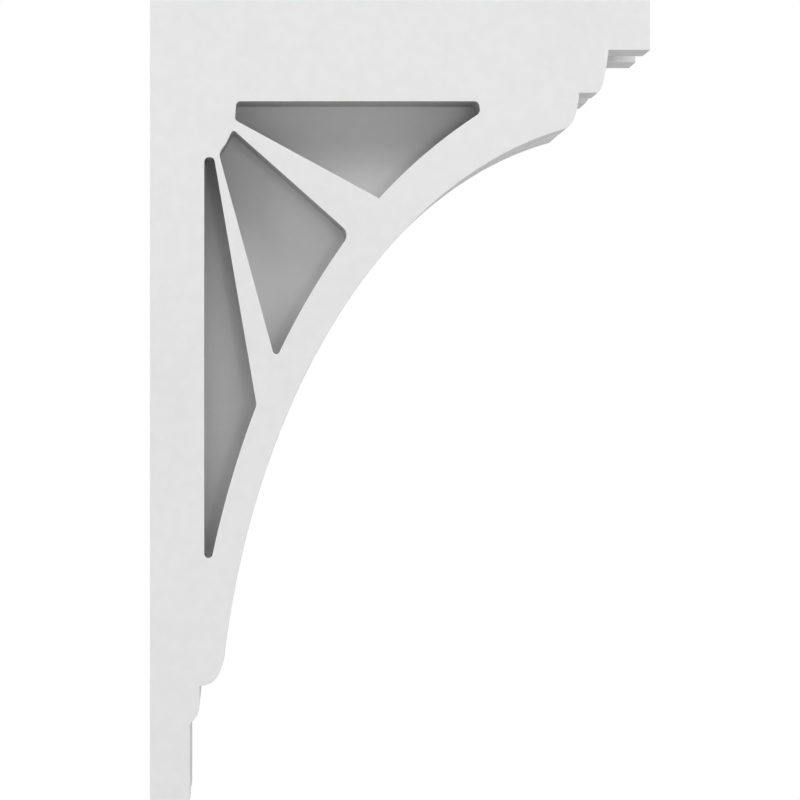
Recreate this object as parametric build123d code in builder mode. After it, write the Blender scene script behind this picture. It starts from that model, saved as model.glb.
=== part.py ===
from build123d import *
from math import acos, asin, degrees
import os

os.makedirs("parts", exist_ok=True)

# A porch corbel glued up from three boards of the same thickness, in millimetres.
# X runs out from the wall, Z runs up and Y runs across the boards. The origin is
# the middle of the wall face. The two side boards share one outline and have three
# fan-shaped recesses each, and the middle board is the floor of those recesses.

# Overall sizes
PROJECTION = 254.0
HEIGHT = 406.4
BOARD = 25.4
GROOVE = 6.35
EASED_EDGE = 0.5

TOP = HEIGHT / 2
BOTTOM = -HEIGHT / 2

# Square block under the shelf, and the foot against the wall
BLOCK_HEIGHT = 25.4
FOOT_DEPTH = 20.35

# Upper round, from the block down: a long flat bow that turns in at its lower end
UPPER_ROUND = [(233.1, TOP - BLOCK_HEIGHT), (231.9, 169.2), (230.1, 161.2), (229.05, 158.3), (227.3, 156.05)]

# Second round, which sits further back and runs down to the long curve
SECOND_ROUND = [(218.2, 156.05), (217.45, 150.1), (215.4, 143.0), (213.8, 140.3)]
SECOND_ROUND_END_X = 211.3

# Long concave curve: part of an ellipse that is centred out in front of the foot
CURVE_CENTRE = (248.88, -191.5)
CURVE_RADIUS_X = 214.72
CURVE_RADIUS_Z = 334.46
CURVE_END_Z = -129.7

# Lower round, which carries on from the long curve, and the small round between it and the foot
LOWER_ROUND = [(35.3, -138.5), (32.2, -142.9), (28.8, -144.5), (25.25, -145.3)]
LOWER_ROUND_END_SLOPE = (-1, -0.2)
SMALL_ROUND = [(25.25, -152.4), (25.1, -155.5), (24.3, -159.2), (22.4, -162.3), (FOOT_DEPTH, -164.7)]

# Upper recess: a long triangle under the top edge, with its right and left ends cut off
UPPER_RECESS_CORNERS = [(167.95, 146.0), (166.85, 151.75), (43.9, 151.75), (43.25, 142.25), (116.4, 102.45)]
UPPER_RECESS_BOW = (140.9, 126.1)
UPPER_RECESS_END_ROUND = 3.0
UPPER_RECESS_TOP_RIGHT_ROUND = 2.5
UPPER_RECESS_TOP_LEFT_ROUND = 2.2
UPPER_RECESS_BACK_ROUND = 1.9

# Middle recess: a kite with one cut-off corner
MIDDLE_RECESS_CORNERS = [(101.6, 84.5), (42.15, 137.45), (38.65, 130.3), (34.95, 125.3), (63.75, 20.15)]
MIDDLE_RECESS_BOW = (77.2, 46.5)
MIDDLE_RECESS_END_ROUND = 5.3
MIDDLE_RECESS_BACK_ROUND = 5.5
MIDDLE_RECESS_BOTTOM_ROUND = 1.7
MIDDLE_RECESS_TOP_ROUND = 1.3

# Lower recess: a tall narrow triangle beside the wall
LOWER_RECESS_CORNERS = [(27.65, -100.4), (27.65, 123.3), (32.5, 123.3), (54.1, -2.5)]
LOWER_RECESS_BOW = (41.8, -38.75)
LOWER_RECESS_TOP_ROUND = 2.15
LOWER_RECESS_BOTTOM_ROUND = 2.05
LOWER_RECESS_SIDE_ROUND = 1.5


def stepped_outline(inset):
    """Draws the outline of one board, its lower and front edges set back by inset."""

    def moved(point):
        return (point[0] - inset, point[1] + inset)

    radius_x = CURVE_RADIUS_X + inset
    radius_z = CURVE_RADIUS_Z + inset
    curve_start = degrees(acos((SECOND_ROUND_END_X - inset - CURVE_CENTRE[0]) / radius_x))
    curve_end = 180 - degrees(asin((CURVE_END_Z + inset - CURVE_CENTRE[1]) / radius_z))
    curve_turn = curve_end - curve_start
    curve = EllipticalCenterArc(CURVE_CENTRE, radius_x, radius_z, curve_start, arc_size=curve_turn)

    # From the top of the long curve up to the block, along the top and down the wall
    Spline([moved(point) for point in SECOND_ROUND] + [curve @ 0])
    Line(moved(SECOND_ROUND[0]), moved(UPPER_ROUND[-1]))
    Spline([moved(point) for point in UPPER_ROUND])
    block_corner = moved((PROJECTION, TOP - BLOCK_HEIGHT))
    Polyline(moved(UPPER_ROUND[0]), block_corner, (block_corner[0], TOP), (0, TOP))
    foot_corner = moved((FOOT_DEPTH, BOTTOM))
    Polyline((0, TOP), (0, foot_corner[1]), foot_corner, moved(SMALL_ROUND[-1]))

    # From the foot up to the lower end of the long curve
    Spline([moved(point) for point in SMALL_ROUND])
    Line(moved(SMALL_ROUND[0]), moved(LOWER_ROUND[-1]))
    lower_points = [curve @ 1] + [moved(point) for point in LOWER_ROUND]
    Spline(lower_points, tangents=[curve % 1, LOWER_ROUND_END_SLOPE])


def recess(corners, bow):
    """Draws one recess: straight sides, and a bowed side back to the first corner."""
    Polyline(*corners)
    ThreePointArc(corners[-1], bow, corners[0])


with BuildSketch() as upper_recess:
    with BuildLine():
        recess(UPPER_RECESS_CORNERS, UPPER_RECESS_BOW)
    make_face()
    fillet(upper_recess.vertices().group_by(Axis.Y)[-1].sort_by(Axis.X)[-1], UPPER_RECESS_TOP_RIGHT_ROUND)
    fillet(upper_recess.vertices().group_by(Axis.Y)[-1].sort_by(Axis.X)[0], UPPER_RECESS_TOP_LEFT_ROUND)
    fillet(upper_recess.vertices().sort_by(Axis.X)[-1], UPPER_RECESS_END_ROUND)
    fillet(upper_recess.vertices().sort_by(Axis.X)[0], UPPER_RECESS_BACK_ROUND)

with BuildSketch() as middle_recess:
    with BuildLine():
        recess(MIDDLE_RECESS_CORNERS, MIDDLE_RECESS_BOW)
    make_face()
    fillet(middle_recess.vertices().sort_by(Axis.X)[-1], MIDDLE_RECESS_END_ROUND)
    fillet(middle_recess.vertices().sort_by(Axis.X)[0], MIDDLE_RECESS_BACK_ROUND)
    fillet(middle_recess.vertices().sort_by(Axis.Y)[0], MIDDLE_RECESS_BOTTOM_ROUND)
    fillet(middle_recess.vertices().sort_by(Axis.Y)[-1], MIDDLE_RECESS_TOP_ROUND)

with BuildSketch() as lower_recess:
    with BuildLine():
        recess(LOWER_RECESS_CORNERS, LOWER_RECESS_BOW)
    make_face()
    fillet(lower_recess.vertices().sort_by(Axis.X)[-1], LOWER_RECESS_SIDE_ROUND)
    fillet(lower_recess.vertices().sort_by(Axis.Y)[-2:], LOWER_RECESS_TOP_ROUND)
    fillet(lower_recess.vertices().sort_by(Axis.Y)[0], LOWER_RECESS_BOTTOM_ROUND)

# Near and far side boards, the same outline on each side of the middle board
side_planes = {
    "near_side_board": Plane.XZ.offset(BOARD / 2),
    "far_side_board": Plane.XZ.offset(-BOARD * 3 / 2),
}
for name, plane in side_planes.items():
    with BuildPart() as side_board:
        with BuildSketch(plane):
            with BuildLine():
                stepped_outline(0)
            make_face()
            add([upper_recess.sketch, middle_recess.sketch, lower_recess.sketch], mode=Mode.SUBTRACT)
        extrude(amount=BOARD)
        outer_face = side_board.faces().sort_by(Axis.Y)[0 if name == "near_side_board" else -1]
        chamfer(outer_face.edges(), EASED_EDGE)
    side_board.part.label = name
    export_step(side_board.part, f"parts/{name}.step")

# Middle board, set back from the side boards to leave a groove along the lower edge
with BuildPart() as core_board:
    with BuildSketch(Plane.XZ.offset(-BOARD / 2)):
        with BuildLine():
            stepped_outline(GROOVE)
        make_face()
    extrude(amount=BOARD)
core_board.part.label = "core_board"
export_step(core_board.part, "parts/core_board.step")
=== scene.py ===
"""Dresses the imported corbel: three trim boards with eased edges, a floor, soft lamps and a camera."""

import logging
from collections.abc import Sequence
from dataclasses import dataclass, field
from enum import Enum
from math import acos, asin, atan2, cos, hypot, pi, radians, sin, tan

import bpy
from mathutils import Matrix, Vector


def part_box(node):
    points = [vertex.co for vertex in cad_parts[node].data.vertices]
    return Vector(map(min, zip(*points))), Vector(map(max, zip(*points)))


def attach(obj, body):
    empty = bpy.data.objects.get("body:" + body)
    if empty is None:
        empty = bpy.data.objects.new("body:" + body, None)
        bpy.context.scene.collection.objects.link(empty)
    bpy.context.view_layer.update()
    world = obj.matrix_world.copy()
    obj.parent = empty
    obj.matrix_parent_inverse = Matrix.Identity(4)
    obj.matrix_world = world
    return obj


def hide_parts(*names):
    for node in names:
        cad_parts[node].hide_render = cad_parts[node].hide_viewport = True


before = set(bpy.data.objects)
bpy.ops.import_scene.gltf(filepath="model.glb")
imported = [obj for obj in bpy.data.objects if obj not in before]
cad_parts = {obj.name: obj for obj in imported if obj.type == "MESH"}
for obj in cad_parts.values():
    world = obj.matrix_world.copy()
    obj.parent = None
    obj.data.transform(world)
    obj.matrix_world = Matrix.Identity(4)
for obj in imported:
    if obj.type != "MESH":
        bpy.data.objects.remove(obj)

log = logging.getLogger("corbel")

Point = tuple[float, float]
Place = tuple[float, float, float]
Colour = tuple[float, float, float]

ROOT_BODY = "root"
WHITE = (1.0, 1.0, 1.0)

# About how far round an ellipse one stroke goes
STROKE_ARC = radians(16)

# The search for a round's place: the step that finds its slope, and how often it is repeated
SEARCH_NUDGE = 1e-4
SEARCH_ROUNDS = 8


class Board(Enum):
    """The three boards, by the name of the frame's node."""

    NEAR = "near_side_board"
    CORE = "core_board"
    FAR = "far_side_board"


def arc_pull(turn: float) -> float:
    """Returns how far a handle reaches, for a radius of 1, where a stroke draws an arc of that angle."""
    return 4 / 3 * tan(turn / 4)


@dataclass(frozen=True)
class Stroke:
    """One stretch of an outline, as a cubic curve from a start to an end with a handle at each."""

    start: Vector
    start_handle: Vector
    end_handle: Vector
    end: Vector
    straight: bool = False

    def split(self, share: float) -> tuple["Stroke", "Stroke"]:
        """Cuts the stroke in two.

        Args:
            share: Where to cut, from 0 at the start to 1 at the end.

        Returns:
            The part before the cut and the part after it.
        """
        first = self.start.lerp(self.start_handle, share)
        middle = self.start_handle.lerp(self.end_handle, share)
        last = self.end_handle.lerp(self.end, share)
        left = first.lerp(middle, share)
        right = middle.lerp(last, share)
        cut = left.lerp(right, share)
        before = Stroke(self.start, first, left, cut, self.straight)
        after = Stroke(cut, right, last, self.end, self.straight)
        return before, after

    def trimmed(self, from_start: float, from_end: float) -> "Stroke":
        """Returns the stroke with a share taken off its start and one off its end."""
        kept = self.split(from_start)[1] if from_start else self
        return kept.split(1 - from_end / (1 - from_start))[0] if from_end else kept

    def heading_out(self) -> Vector:
        """Returns the direction at the start."""
        return (self.start_handle - self.start).normalized()

    def heading_in(self) -> Vector:
        """Returns the direction at the end."""
        return (self.end - self.end_handle).normalized()

    def beside(self, share: float, distance: float) -> Vector:
        """Finds a point to the left of the stroke.

        Args:
            share: Where along the stroke, from 0 to 1.
            distance: How far to the left, or to the right if negative.

        Returns:
            The point.
        """
        after = self.split(share)[1]
        way = after.heading_out()
        return after.start + distance * Vector((-way.y, way.x))


@dataclass
class Outline:
    """A closed outline in the plane of the boards, drawn stroke by stroke as with a pen."""

    pen: Vector
    strokes: list[Stroke] = field(default_factory=list)

    def line_to(self, end: Point | Vector) -> None:
        """Draws a straight stroke.

        Args:
            end: Where it ends.
        """
        goal = Vector(end)
        first_third, last_third = self.pen.lerp(goal, 1 / 3), self.pen.lerp(goal, 2 / 3)
        self.strokes.append(Stroke(self.pen, first_third, last_third, goal, straight=True))
        self.pen = goal

    def sweep(self, centre: Point, radii: Point, first: float, last: float) -> None:
        """Draws part of an ellipse that starts at the pen.

        Args:
            centre: Centre of the ellipse.
            radii: Its half width and half height.
            first: Angle where the stretch begins, in radians.
            last: Angle where it ends.
        """
        pieces = max(1, round(abs(last - first) / STROKE_ARC))
        step = (last - first) / pieces
        pull = arc_pull(step)

        def place(angle: float) -> Vector:
            return Vector((centre[0] + radii[0] * cos(angle), centre[1] + radii[1] * sin(angle)))

        def along(angle: float) -> Vector:
            return Vector((-radii[0] * sin(angle), radii[1] * cos(angle)))

        for piece in range(pieces):
            angle, next_angle = first + piece * step, first + (piece + 1) * step
            begin, finish = place(angle), place(next_angle)
            out, back = along(angle) * pull, along(next_angle) * pull
            self.strokes.append(Stroke(begin, begin + out, finish - back, finish))
        self.pen = self.strokes[-1].end

    def bow_to(self, middle: Point, end: Point) -> None:
        """Draws one round stroke through a middle point.

        Args:
            middle: A point on the bow.
            end: Where it ends.
        """
        (ax, ay), (bx, by), (cx, cy) = self.pen, middle, end
        twice_area = 2 * (ax * (by - cy) + bx * (cy - ay) + cx * (ay - by))
        a_square, b_square, c_square = ax * ax + ay * ay, bx * bx + by * by, cx * cx + cy * cy
        x = (a_square * (by - cy) + b_square * (cy - ay) + c_square * (ay - by)) / twice_area
        y = (a_square * (cx - bx) + b_square * (ax - cx) + c_square * (bx - ax)) / twice_area
        radius = hypot(ax - x, ay - y)
        first = atan2(ay - y, ax - x)
        turn = (atan2(cy - y, cx - x) - first + pi) % (2 * pi) - pi
        pull = arc_pull(turn) * radius
        begin, goal = self.pen, Vector(end)
        out = Vector((-sin(first), cos(first))) * pull
        back = Vector((-sin(first + turn), cos(first + turn))) * pull
        self.strokes.append(Stroke(begin, begin + out, goal - back, goal))
        self.pen = goal

    def flow_through(
        self, points: Sequence[Point], first_way: Vector | None = None, last_way: Vector | None = None
    ) -> None:
        """Draws a smooth curve from the pen through some points.

        Args:
            points: The points after the pen, in order.
            first_way: Direction at the pen, or None to let it follow the points.
            last_way: Direction at the last point, or None to let it follow the points.
        """
        # A point's direction is that between its neighbours, and an end's carries on the bend beside it
        places = [self.pen] + [Vector(point) for point in points]
        ways = [(after - before) / 2 for before, after in zip(places, places[2:])]
        start_way = first_way or (places[1] - places[0]) * 1.5 - ways[0] / 2
        end_way = last_way or (places[-1] - places[-2]) * 1.5 - ways[-1] / 2
        ways = [start_way] + ways + [end_way]
        spans = [(after - before).length for before, after in zip(places, places[1:])]
        for index, span in enumerate(spans):
            out = ways[index].normalized() * span / 3
            back = ways[index + 1].normalized() * span / 3
            begin, finish = places[index], places[index + 1]
            self.strokes.append(Stroke(begin, begin + out, finish - back, finish))
        self.pen = places[-1]

    @staticmethod
    def round_shares(before: Stroke, after: Stroke, radius: float) -> tuple[float, float]:
        """Finds how much of two strokes the round between them takes, by Newton's method.

        Args:
            before: The stroke that ends at the corner.
            after: The stroke that starts there.
            radius: The round's radius.

        Returns:
            The share of each stroke that goes.
        """
        side = radius if before.heading_in().cross(after.heading_out()) > 0 else -radius
        half = (pi - before.heading_in().angle(after.heading_out())) / 2
        taken = radius / tan(half)
        shares = [taken / (before.end - before.start).length, taken / (after.end - after.start).length]

        def gap(first: float, second: float) -> Vector:
            return before.beside(1 - first, side) - after.beside(second, side)

        for _ in range(SEARCH_ROUNDS):
            miss = gap(*shares)
            along_first = (gap(shares[0] + SEARCH_NUDGE, shares[1]) - miss) / SEARCH_NUDGE
            along_second = (gap(shares[0], shares[1] + SEARCH_NUDGE) - miss) / SEARCH_NUDGE
            scale = along_first.cross(along_second)
            shares[0] -= miss.cross(along_second) / scale
            shares[1] -= along_first.cross(miss) / scale
        return shares[0], shares[1]

    def round_corners(self, radii: Sequence[float]) -> None:
        """Rounds the corners, where stroke number i begins at corner number i.

        Args:
            radii: One radius for each corner, 0 for a sharp one.
        """
        count = len(self.strokes)
        shares = []
        for index, radius in enumerate(radii):
            before, after = self.strokes[index - 1], self.strokes[index]
            shares.append(self.round_shares(before, after, radius) if radius else (0.0, 0.0))
        kept = [
            stroke.trimmed(shares[index][1], shares[(index + 1) % count][0])
            for index, stroke in enumerate(self.strokes)
        ]
        rounded = []
        for index, stroke in enumerate(kept):
            if radii[index]:
                before = kept[index - 1]
                turn = before.heading_in().angle(stroke.heading_out())
                pull = arc_pull(turn) * radii[index]
                leave = before.end + before.heading_in() * pull
                arrive = stroke.start - stroke.heading_out() * pull
                rounded.append(Stroke(before.end, leave, arrive, stroke.start))
            rounded.append(stroke)
        self.strokes = rounded

    def add_to(self, curve: bpy.types.Curve) -> None:
        """Adds the outline to a curve as one closed spline.

        Args:
            curve: The curve's data.
        """
        spline = curve.splines.new("BEZIER")
        spline.bezier_points.add(len(self.strokes) - 1)
        spline.use_cyclic_u = True
        for index, stroke in enumerate(self.strokes):
            before = self.strokes[index - 1]
            knot = spline.bezier_points[index]
            knot.handle_left_type = "VECTOR" if before.straight else "FREE"
            knot.handle_right_type = "VECTOR" if stroke.straight else "FREE"
            knot.co = stroke.start.to_3d()
            knot.handle_left = before.end_handle.to_3d()
            knot.handle_right = stroke.start_handle.to_3d()


@dataclass(frozen=True)
class Recess:
    """One cut-out of a side board: straight sides, then a bowed side back to the first corner.

    The rounds are one radius for each corner, and the bow is a point on the bowed side. The margin
    is how far outside the corners a wall may lie, and the lean is how much of a wall's normal may
    point along the board's thickness.
    """

    corners: tuple[Point, ...]
    rounds: tuple[float, ...]
    bow: Point
    wall_margin: float = 0.0005
    wall_lean: float = 0.5

    def draw(self) -> Outline:
        """Returns the recess as an outline."""
        outline = Outline(Vector(self.corners[0]))
        for corner in self.corners[1:]:
            outline.line_to(corner)
        outline.bow_to(self.bow, self.corners[0])
        outline.round_corners(self.rounds)
        return outline

    def owns(self, face: bpy.types.MeshPolygon) -> bool:
        """Tells whether a face of the board is one of this recess's walls, which get painted shade.

        Args:
            face: The face, in metres in the frame of the wall face.

        Returns:
            True where the face runs through the board, in the recess's box, and looks to its middle.
        """
        across, up = zip(*self.corners)
        low, high = Vector((min(across), min(up))), Vector((max(across), max(up)))
        place, way = face.center.xz, face.normal.xz
        margin = self.wall_margin
        boxed = all(low[axis] - margin < place[axis] < high[axis] + margin for axis in (0, 1))
        return abs(face.normal.y) < self.wall_lean and boxed and way.dot((low + high) / 2 - place) > 0


@dataclass(frozen=True)
class SteppedProfile:
    """The stepped outline that the boards share, in metres in the frame of the wall face.

    The points of each round run from the top down. A reach is how far the round's upper end, or the
    whole corbel, stands out from the wall.
    """

    reach: float
    top: float
    bottom: float
    block_height: float = 0.0254
    foot_depth: float = 0.02035
    upper_round: tuple[Point, ...] = (
        (0.2319, 0.1692), (0.2301, 0.1612), (0.22905, 0.1583), (0.2273, 0.15605)
    )
    upper_round_reach: float = 0.2331
    second_round: tuple[Point, ...] = ((0.21745, 0.1501), (0.2154, 0.143), (0.2138, 0.1403))
    second_round_reach: float = 0.2182
    second_round_end: float = 0.2113
    curve_centre: Point = (0.24888, -0.1915)
    curve_radii: Point = (0.21472, 0.33446)
    curve_end: float = -0.1297
    lower_round: tuple[Point, ...] = (
        (0.0353, -0.1385), (0.0322, -0.1429), (0.0288, -0.1445), (0.02525, -0.1453)
    )
    lower_round_slope: Point = (1.0, 0.2)
    small_round: tuple[Point, ...] = (
        (0.02525, -0.1524), (0.0251, -0.1555), (0.0243, -0.1592), (0.0224, -0.1623), (0.02035, -0.1647)
    )

    def draw(self, inset: float) -> Outline:
        """Draws the outline of one board.

        Args:
            inset: How far its lower and front edges stop short of the side boards'.

        Returns:
            The closed outline, starting at the top of the wall face.
        """

        def moved(point: Point) -> Point:
            return point[0] - inset, point[1] + inset

        # Down the wall face, round the foot and up over the small round
        block_bottom = self.top - self.block_height
        outline = Outline(Vector((0.0, self.top)))
        outline.line_to((0.0, self.bottom + inset))
        outline.line_to(moved((self.foot_depth, self.bottom)))
        outline.line_to(moved(self.small_round[-1]))
        outline.flow_through([moved(point) for point in reversed(self.small_round[:-1])])
        outline.line_to(moved(self.lower_round[-1]))

        # Over the lower round into the long curve, whose ends lie on the inset ellipse
        radii = (self.curve_radii[0] + inset, self.curve_radii[1] + inset)
        low_angle = pi - asin((self.curve_end + inset - self.curve_centre[1]) / radii[1])
        high_angle = acos((self.second_round_end - inset - self.curve_centre[0]) / radii[0])
        curve_foot = (
            self.curve_centre[0] + radii[0] * cos(low_angle),
            self.curve_centre[1] + radii[1] * sin(low_angle),
        )
        curve_way = Vector((radii[0] * sin(low_angle), -radii[1] * cos(low_angle)))
        outline.flow_through(
            [moved(point) for point in reversed(self.lower_round[:-1])] + [curve_foot],
            first_way=Vector(self.lower_round_slope),
            last_way=curve_way,
        )
        outline.sweep(self.curve_centre, radii, low_angle, high_angle)

        # Up the two rounds under the block, round the block and back along the top
        second_top = moved((self.second_round_reach, self.upper_round[-1][1]))
        outline.flow_through([moved(point) for point in reversed(self.second_round)] + [second_top])
        outline.line_to(moved(self.upper_round[-1]))
        upper_top = moved((self.upper_round_reach, block_bottom))
        outline.flow_through([moved(point) for point in reversed(self.upper_round[:-1])] + [upper_top])
        outline.line_to(moved((self.reach, block_bottom)))
        outline.line_to((self.reach - inset, self.top))
        outline.line_to((0.0, self.top))
        return outline


@dataclass
class BoardStack:
    """The three boards, each made from a filled outline that is given its thickness and eased edges.

    The arris is the radius of the eased edges, and the smoothness is how many steps a stroke gets.
    """

    profile: SteppedProfile
    groove: float
    thickness: float
    arris: float = 0.00025
    arris_steps: int = 2
    smoothness: int = 10
    weld_distance: float = 1e-6
    crease_angle: float = radians(40)
    upper_recess: Recess = Recess(
        ((0.16795, 0.146), (0.16685, 0.15175), (0.0439, 0.15175), (0.04325, 0.14225), (0.1164, 0.10245)),
        (0.003, 0.0025, 0.0022, 0.0019, 0.0),
        (0.1409, 0.1261),
    )
    middle_recess: Recess = Recess(
        ((0.1016, 0.0845), (0.04215, 0.13745), (0.03865, 0.1303), (0.03495, 0.1253), (0.06375, 0.02015)),
        (0.0053, 0.0013, 0.0, 0.0055, 0.0017),
        (0.0772, 0.0465),
    )
    lower_recess: Recess = Recess(
        ((0.02765, -0.1004), (0.02765, 0.1233), (0.0325, 0.1233), (0.0541, -0.0025)),
        (0.00205, 0.00215, 0.00215, 0.0015),
        (0.0418, -0.03875),
    )

    def cut_board(self, outlines: Sequence[Outline], centre: float) -> bpy.types.Object:
        """Makes one board.

        Args:
            outlines: The board's edge first, then its cut-outs.
            centre: Where the middle of its thickness lies along Y.

        Returns:
            The board as a mesh whose object sits at the origin.
        """
        bpy.ops.object.select_all(action="DESELECT")
        bpy.ops.curve.primitive_bezier_curve_add(location=(0.0, 0.0, 0.0))
        piece = bpy.context.object
        curve = piece.data
        curve.splines.clear()
        curve.dimensions = "2D"
        curve.fill_mode = "BOTH"
        curve.resolution_u = self.smoothness
        for outline in outlines:
            outline.add_to(curve)
        curve.offset = -self.arris
        curve.bevel_depth = self.arris
        curve.bevel_resolution = self.arris_steps
        curve.extrude = self.thickness / 2 - self.arris
        bpy.ops.object.convert(target="MESH")
        piece = bpy.context.object
        piece.rotation_euler.x = pi / 2
        piece.location.y = centre
        bpy.ops.object.transform_apply(location=True, rotation=True, scale=False)
        bpy.ops.object.mode_set(mode="EDIT")
        bpy.ops.mesh.select_all(action="SELECT")
        bpy.ops.mesh.remove_doubles(threshold=self.weld_distance)
        bpy.ops.mesh.normals_make_consistent(inside=False)
        bpy.ops.object.mode_set(mode="OBJECT")
        self.smooth_edges(piece)
        return piece

    @staticmethod
    def claim(piece: bpy.types.Object, board: Board) -> None:
        """Names a finished board after the frame's node that it stands for."""
        piece.name = piece.data.name = f"{board.value}_dressed"
        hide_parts(board.value)

    @staticmethod
    def copy_board(piece: bpy.types.Object, shift: float) -> bpy.types.Object:
        """Copies a board, with a mesh of its own, to the other side of the stack.

        Args:
            piece: The board that is copied.
            shift: How far along Y the copy moves.

        Returns:
            The copy, whose object sits at the origin.
        """
        bpy.ops.object.select_all(action="DESELECT")
        piece.select_set(True)
        bpy.context.view_layer.objects.active = piece
        bpy.ops.object.duplicate(linked=False)
        twin = bpy.context.object
        twin.location.y = shift
        bpy.ops.object.transform_apply(location=True, rotation=False, scale=False)
        return twin

    def finish_and_shade_walls(
        self, piece: bpy.types.Object, face: bpy.types.Material, wall: bpy.types.Material
    ) -> None:
        """Gives a board its finish, and the walls of its recesses a darker grey one that is painted shade.

        Args:
            piece: The board's mesh.
            face: Finish of the board.
            wall: Finish of the recess walls, a darker grey that is painted shade.
        """
        piece.data.materials.append(face)
        piece.data.materials.append(wall)
        for polygon in piece.data.polygons:
            # Faces that a recess owns get the second material, whose darker grey is painted shade inside
            # the recesses
            polygon.material_index = int(any(recess.owns(polygon) for recess in self.recesses()))

    def smooth_edges(self, piece: bpy.types.Object) -> None:
        """Shades the rounds smoothly and keeps the flat faces flat.

        Args:
            piece: The board's mesh, which is the active object.
        """
        bpy.ops.object.shade_smooth_by_angle(angle=self.crease_angle)
        bpy.ops.object.modifier_add(type="WEIGHTED_NORMAL")
        weighted = piece.modifiers[-1]
        weighted.keep_sharp = True
        bpy.ops.object.modifier_apply(modifier=weighted.name)

    def recesses(self) -> tuple[Recess, ...]:
        """Returns the recesses of a side board from the top down."""
        return self.upper_recess, self.middle_recess, self.lower_recess

    def build(
        self, face: bpy.types.Material, wall: bpy.types.Material, core_face: bpy.types.Material
    ) -> dict[Board, bpy.types.Object]:
        """Makes and dresses the boards.

        Args:
            face: Finish of the side boards.
            wall: Finish of the recess walls, a darker grey that is painted shade.
            core_face: Finish of the middle board, whose grey skin is painted shade on the recess floors.

        Returns:
            The three boards by name.
        """
        side = [self.profile.draw(0.0)] + [recess.draw() for recess in self.recesses()]
        near = self.cut_board(side, -self.thickness)
        self.finish_and_shade_walls(near, face, wall)
        far = self.copy_board(near, 2 * self.thickness)
        core = self.cut_board([self.profile.draw(self.groove)], 0.0)
        # The middle board's grey skin shows only as the recess floors, and is painted shade there
        core.data.materials.append(core_face)
        boards = {Board.NEAR: near, Board.CORE: core, Board.FAR: far}
        for board, piece in boards.items():
            self.claim(piece, board)
        return boards


@dataclass(frozen=True)
class Value:
    """A socket of a material, wrapped so that an expression on it adds the Math nodes."""

    shading: "Shading"
    socket: bpy.types.NodeSocket

    def math(self, operation: str, *terms: "Value | float") -> "Value":
        """Returns the result of one Math node with the given operation and inputs."""
        node = self.shading.add("ShaderNodeMath", {"operation": operation}, dict(enumerate(terms)))
        return self.shading.value(node)

    def __add__(self, other: "Value | float") -> "Value":
        """Returns the sum."""
        return self.math("ADD", self, other)

    def __radd__(self, other: float) -> "Value":
        """Returns the sum with a number on the left."""
        return self.math("ADD", other, self)

    def __sub__(self, other: "Value | float") -> "Value":
        """Returns the difference."""
        return self.math("SUBTRACT", self, other)

    def __rsub__(self, other: float) -> "Value":
        """Returns the difference from a number on the left."""
        return self.math("SUBTRACT", other, self)

    def __mul__(self, other: "Value | float") -> "Value":
        """Returns the product."""
        return self.math("MULTIPLY", self, other)

    def __rmul__(self, other: float) -> "Value":
        """Returns the product with a number on the left."""
        return self.math("MULTIPLY", other, self)

    def __abs__(self) -> "Value":
        """Returns the size without its sign."""
        return self.math("ABSOLUTE", self)

    def ramp(self, low: float, high: float) -> "Value":
        """Adds a smooth step.

        Args:
            low: Where the step is still 0.
            high: Where it has reached 1.

        Returns:
            The step.
        """
        smooth = {"interpolation_type": "SMOOTHSTEP"}
        node = self.shading.add("ShaderNodeMapRange", smooth, Value=self, From_Min=low, From_Max=high)
        return self.shading.value(node, "Result")


@dataclass(frozen=True)
class Pattern:
    """A noise pattern.

    The scale counts its blobs in a metre, the octaves add finer ones, whose strength is the
    fineness, and the fade is where the pattern rises from 0 to 1, if it doesn't stay as it is.
    """

    scale: float
    octaves: float
    fineness: float
    fade: Point | None = None


# What an input of a node works on
Source = Value | bpy.types.NodeSocket | Place | float


@dataclass(frozen=True)
class Shading:
    """The nodes of one material or of the world."""

    tree: bpy.types.NodeTree

    def feed(self, socket: bpy.types.NodeSocket, source: Source) -> None:
        """Gives one input what it works on.

        Args:
            socket: The input.
            source: A value or output that is linked to it, or a number, vector or colour that is set.
        """
        if isinstance(source, Value):
            source = source.socket
        if isinstance(source, bpy.types.NodeSocket):
            self.tree.links.new(source, socket)
        elif socket.type == "RGBA":
            socket.default_value = (*source, 1.0)
        else:
            socket.default_value = source

    def add(
        self,
        kind: str,
        settings: dict[str, str] | None = None,
        numbered: dict[int, Source] | None = None,
        **named: Source,
    ) -> bpy.types.Node:
        """Adds one node.

        Args:
            kind: The node's type.
            settings: Its settings, which are set before its sockets.
            numbered: What its inputs work on, by their numbers.
            named: The same by their names, with _ for a space.

        Returns:
            The node.
        """
        node = self.tree.nodes.new(kind)
        for key, setting in (settings or {}).items():
            setattr(node, key, setting)
        for number, source in (numbered or {}).items():
            self.feed(node.inputs[number], source)
        for name, source in named.items():
            self.feed(node.inputs[name.replace("_", " ")], source)
        return node

    def value(self, node: bpy.types.Node, output: str | int = 0) -> Value:
        """Returns an output of a node as a value."""
        return Value(self, node.outputs[output])

    def noise(self, place: bpy.types.NodeSocket, pattern: Pattern) -> Value:
        """Adds a noise pattern.

        Args:
            place: Where the pattern is read.
            pattern: Its scale, octaves, fineness and fade.

        Returns:
            The pattern, from 0 to 1 where it fades and from about 0.2 to 0.8 where it doesn't.
        """
        node = self.add(
            "ShaderNodeTexNoise",
            Vector=place,
            Scale=pattern.scale,
            Detail=pattern.octaves,
            Roughness=pattern.fineness,
        )
        plain = self.value(node)
        return plain.ramp(*pattern.fade) if pattern.fade else plain

    def blend(self, factor: Value, first: Source, second: Source) -> bpy.types.NodeSocket:
        """Returns the colour that goes from the first to the second as the factor goes from 0 to 1."""
        node = self.add("ShaderNodeMix", {"data_type": "RGBA"}, {0: factor, 6: first, 7: second})
        return node.outputs[2]


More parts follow.
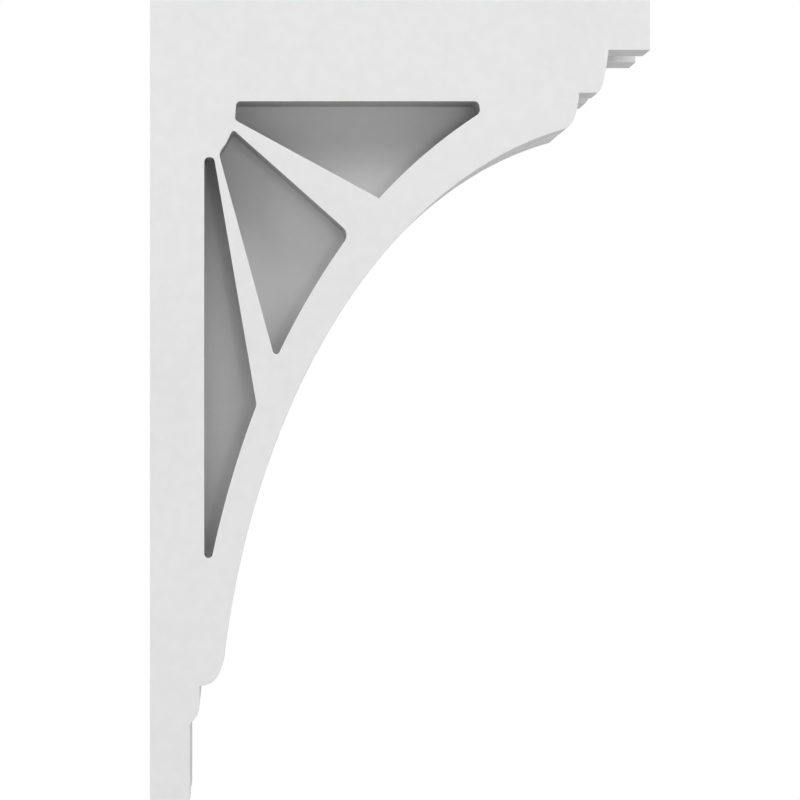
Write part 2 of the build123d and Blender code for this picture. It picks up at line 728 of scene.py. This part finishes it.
@dataclass(frozen=True)
class TrimBoardFinish:
    """White foamed trim board: a satin skin on the faces, and duller, with open cells, where it was cut.

    The board is skin where its normal lies along its thickness, from one size to the other. Heights
    and depths are in metres. A gain is what a pattern adds to the roughness where it is strongest,
    and a share is its part in the colour.
    """

    name: str = "white_trim_board"
    ior: float = 1.45

    skin: Colour = (0.81, 0.81, 0.81)
    skin_cloud: Colour = (0.778, 0.778, 0.778)
    skin_roughness: float = 0.46
    skin_facing: Point = (0.55, 0.85)
    clouds: Pattern = Pattern(9.0, 3.0, 0.55, (0.35, 0.7))
    clouds_gain: float = 0.06
    mottle: Pattern = Pattern(150.0, 3.0, 0.6, (0.35, 0.65))
    mottle_share: float = 0.5
    pebbles: Pattern = Pattern(420.0, 2.0, 0.5)
    pebbles_gain: float = 0.05
    pebble_height: float = 0.00005

    cut: Colour = (0.70, 0.70, 0.70)
    cell: Colour = (0.645, 0.645, 0.645)
    cut_roughness: float = 0.62
    cells: Pattern = Pattern(900.0, 2.0, 0.6, (0.5, 0.66))
    cell_depth: float = 0.00006
    strokes: Pattern = Pattern(700.0, 2.0, 0.6, (0.35, 0.65))
    strokes_stretch: float = 0.03
    strokes_share: float = 0.35
    strokes_gain: float = 0.08
    stroke_height: float = 0.00004

    def material(self) -> bpy.types.Material:
        """Returns the finish as a material."""
        material = bpy.data.materials.new(self.name)
        material.use_nodes = True
        shading = Shading(material.node_tree)
        shading.tree.nodes.clear()
        place = shading.add("ShaderNodeTexCoord").outputs["Object"]
        facing = shading.add("ShaderNodeNewGeometry").outputs["Normal"]
        across = shading.value(shading.add("ShaderNodeSeparateXYZ", Vector=facing), "Y")
        cut = 1 - abs(across).ramp(*self.skin_facing)

        # Slow clouds and a finer mottle on the skin, with a faint pebble
        clouds = shading.noise(place, self.clouds)
        mottle = shading.noise(place, self.mottle)
        pebbles = shading.noise(place, self.pebbles)
        blotches = (1 - self.mottle_share) * clouds + self.mottle_share * mottle
        skin = shading.blend(blotches, self.skin, self.skin_cloud)
        skin_roughness = self.skin_roughness + self.clouds_gain * clouds + self.pebbles_gain * pebbles
        skin_relief = self.pebble_height * pebbles

        # Open cells on the cut edges, and cutter marks that run along the board's thickness
        stretch = (1.0, self.strokes_stretch, 1.0)
        stretched = shading.add("ShaderNodeMapping", Vector=place, Scale=stretch).outputs["Vector"]
        cells = shading.noise(place, self.cells)
        strokes = shading.noise(stretched, self.strokes)
        marks = (1 - self.strokes_share) * cells + self.strokes_share * strokes
        cut_face = shading.blend(marks, self.cut, self.cell)
        cut_roughness = self.cut_roughness + self.strokes_gain * strokes
        cut_relief = self.stroke_height * strokes - self.cell_depth * cells

        colour = shading.blend(cut, skin, cut_face)
        roughness = (1 - cut) * skin_roughness + cut * cut_roughness
        relief = (1 - cut) * skin_relief + cut * cut_relief
        bump = shading.add("ShaderNodeBump", Strength=1.0, Distance=1.0, Height=relief)
        surface = shading.add(
            "ShaderNodeBsdfPrincipled",
            Base_Color=colour,
            Roughness=roughness,
            IOR=self.ior,
            Normal=bump.outputs["Normal"],
        )
        shading.add("ShaderNodeOutputMaterial", Surface=surface.outputs[0])
        return material


@dataclass(frozen=True)
class Lamp:
    """A square soft lamp that points at the corbel."""

    name: str
    place: Place
    side: float
    power: float
    aim: Place = (0.09, 0.0, 0.02)

    def add(self) -> None:
        """Adds the lamp to the scene."""
        bpy.ops.object.light_add(type="AREA", location=self.place)
        lamp = bpy.context.object
        lamp.name = self.name
        lamp.data.size = self.side
        lamp.data.energy = self.power
        lamp.rotation_euler = (Vector(self.aim) - Vector(self.place)).to_track_quat("-Z", "Y").to_euler()


@dataclass
class Studio:
    """Floor, background, lamps and camera. Lengths are in metres, and the sensor's in millimetres.

    The camera looks straight in at the sight line, which falls on the sight pixel, and a pixel is
    that wide on the near face. The floor turns white from one distance to the other.
    """

    floor_height: float = -0.34
    floor_side: float = 12.0
    floor_colour: Colour = (0.68, 0.68, 0.68)
    white_from: float = 0.35
    white_to: float = 0.75
    ambient: float = 0.27
    lamps: tuple[Lamp, ...] = (
        Lamp("right_lamp", (2.59, -1.88, 2.52), 1.6, 42.5),
        Lamp("top_lamp", (0.09, -1.88, 3.55), 1.6, 50.5),
        Lamp("left_lamp", (-2.41, -1.88, 2.52), 1.6, 55.5),
        Lamp("front_lamp", (0.9, -3.8, 0.0), 0.5, 9.5),
        Lamp("back_right_lamp", (1.99, 3.4, 0.9), 1.0, 32.0),
        Lamp("back_left_lamp", (-1.81, 3.4, 0.9), 1.0, 30.0),
    )
    sight_line: Point = (0.0432, -0.0025)
    camera_distance: float = 1.411
    sensor_width: float = 36.0
    pixel: float = 0.000508
    image_pixels: int = 800
    sight_pixel: Point = (235.0, 405.0)

    def lay_floor(self) -> None:
        """Adds the pale floor, which keeps the shadow near the corbel and turns white further out."""
        bpy.ops.object.select_all(action="DESELECT")
        bpy.ops.mesh.primitive_plane_add(size=self.floor_side, location=(0.0, 0.0, self.floor_height))
        floor = bpy.context.object
        floor.name = "floor"
        bpy.ops.object.transform_apply(location=True, rotation=True, scale=True)
        material = bpy.data.materials.new("pale_floor")
        material.use_nodes = True
        shading = Shading(material.node_tree)
        shading.tree.nodes.clear()
        place = shading.add("ShaderNodeTexCoord").outputs["Object"]
        level = {0: place, 1: (1.0, 1.0, 0.0)}
        flat = shading.add("ShaderNodeVectorMath", {"operation": "MULTIPLY"}, level)
        reach = shading.add("ShaderNodeVectorMath", {"operation": "LENGTH"}, {0: flat.outputs[0]})
        far = shading.value(reach, "Value").ramp(self.white_from, self.white_to)
        seen = self.seen_directly(shading)
        matt = shading.add("ShaderNodeBsdfDiffuse", Color=self.floor_colour)
        white = shading.add("ShaderNodeEmission", Color=WHITE, Strength=1.0)
        parts = {0: far * seen, 1: matt.outputs[0], 2: white.outputs[0]}
        mixed = shading.add("ShaderNodeMixShader", numbered=parts)
        shading.add("ShaderNodeOutputMaterial", Surface=mixed.outputs[0])
        floor.data.materials.append(material)

    @staticmethod
    def seen_directly(shading: Shading) -> Value:
        """Returns 1 where the camera looks, straight or through a reflection, and 0 for other light."""
        path = shading.add("ShaderNodeLightPath")
        camera = shading.value(path, "Is Camera Ray")
        glossy = shading.value(path, "Is Glossy Ray")
        clear = shading.value(path, "Is Transmission Ray")
        return (camera + glossy + clear).ramp(0.0, 1.0)

    def hang_background(self) -> None:
        """Makes the world white to look at and a plain soft light for everything else."""
        world = bpy.data.worlds.new("studio")
        world.use_nodes = True
        bpy.context.scene.world = world
        shading = Shading(world.node_tree)
        shading.tree.nodes.clear()
        seen = self.seen_directly(shading)
        strength = self.ambient + (1.0 - self.ambient) * seen
        light = shading.add("ShaderNodeBackground", Color=WHITE, Strength=strength)
        shading.add("ShaderNodeOutputWorld", Surface=light.outputs[0])

    def set_camera(self) -> None:
        """Places the camera square to the corbel's side, level with its middle and near the wall line."""
        near_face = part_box(Board.NEAR.value)[0][1]
        across, up = self.sight_line
        bpy.ops.object.camera_add(
            location=(across, near_face - self.camera_distance, up), rotation=(pi / 2, 0.0, 0.0)
        )
        camera = bpy.context.object
        camera.data.sensor_width = self.sensor_width
        camera.data.lens = self.sensor_width * self.camera_distance / (self.pixel * self.image_pixels)
        middle = self.image_pixels / 2
        camera.data.shift_x = (middle - self.sight_pixel[0]) / self.image_pixels
        camera.data.shift_y = (self.sight_pixel[1] - middle) / self.image_pixels
        bpy.context.scene.camera = camera

    def set_up(self) -> None:
        """Adds everything that isn't the corbel."""
        self.lay_floor()
        self.hang_background()
        for lamp in self.lamps:
            lamp.add()
        self.set_camera()
        bpy.context.scene.view_settings.view_transform = "Standard"


def main() -> None:
    """Builds the corbel around its frame, dresses it and sets up the studio."""
    logging.basicConfig(level=logging.INFO)
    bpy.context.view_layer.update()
    side_low, side_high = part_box(Board.NEAR.value)
    core_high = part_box(Board.CORE.value)[1]
    profile = SteppedProfile(reach=side_high[0], top=side_high[2], bottom=side_low[2])
    stack = BoardStack(profile, groove=side_high[0] - core_high[0], thickness=side_high[1] - side_low[1])
    white = TrimBoardFinish()
    # Painted shade: the recess walls get a darker grey cut colour, though they are the same white trim
    # board
    painted_shade_walls = TrimBoardFinish("recess_wall_painted_shade", cut=(0.45, 0.45, 0.45), cell=(0.405, 0.405, 0.405))
    # Painted shade: the middle board's skin is grey where it shows as the recess floors, though it is the
    # same white trim board
    painted_shade_core = TrimBoardFinish("core_board_painted_shade", skin=(0.658, 0.658, 0.658), skin_cloud=(0.632, 0.632, 0.632))
    boards = stack.build(white.material(), painted_shade_walls.material(), painted_shade_core.material())
    for piece in boards.values():
        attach(piece, ROOT_BODY)
        log.info("%s: %d faces", piece.name, len(piece.data.polygons))
    Studio().set_up()


if __name__ == "__main__":
    main()
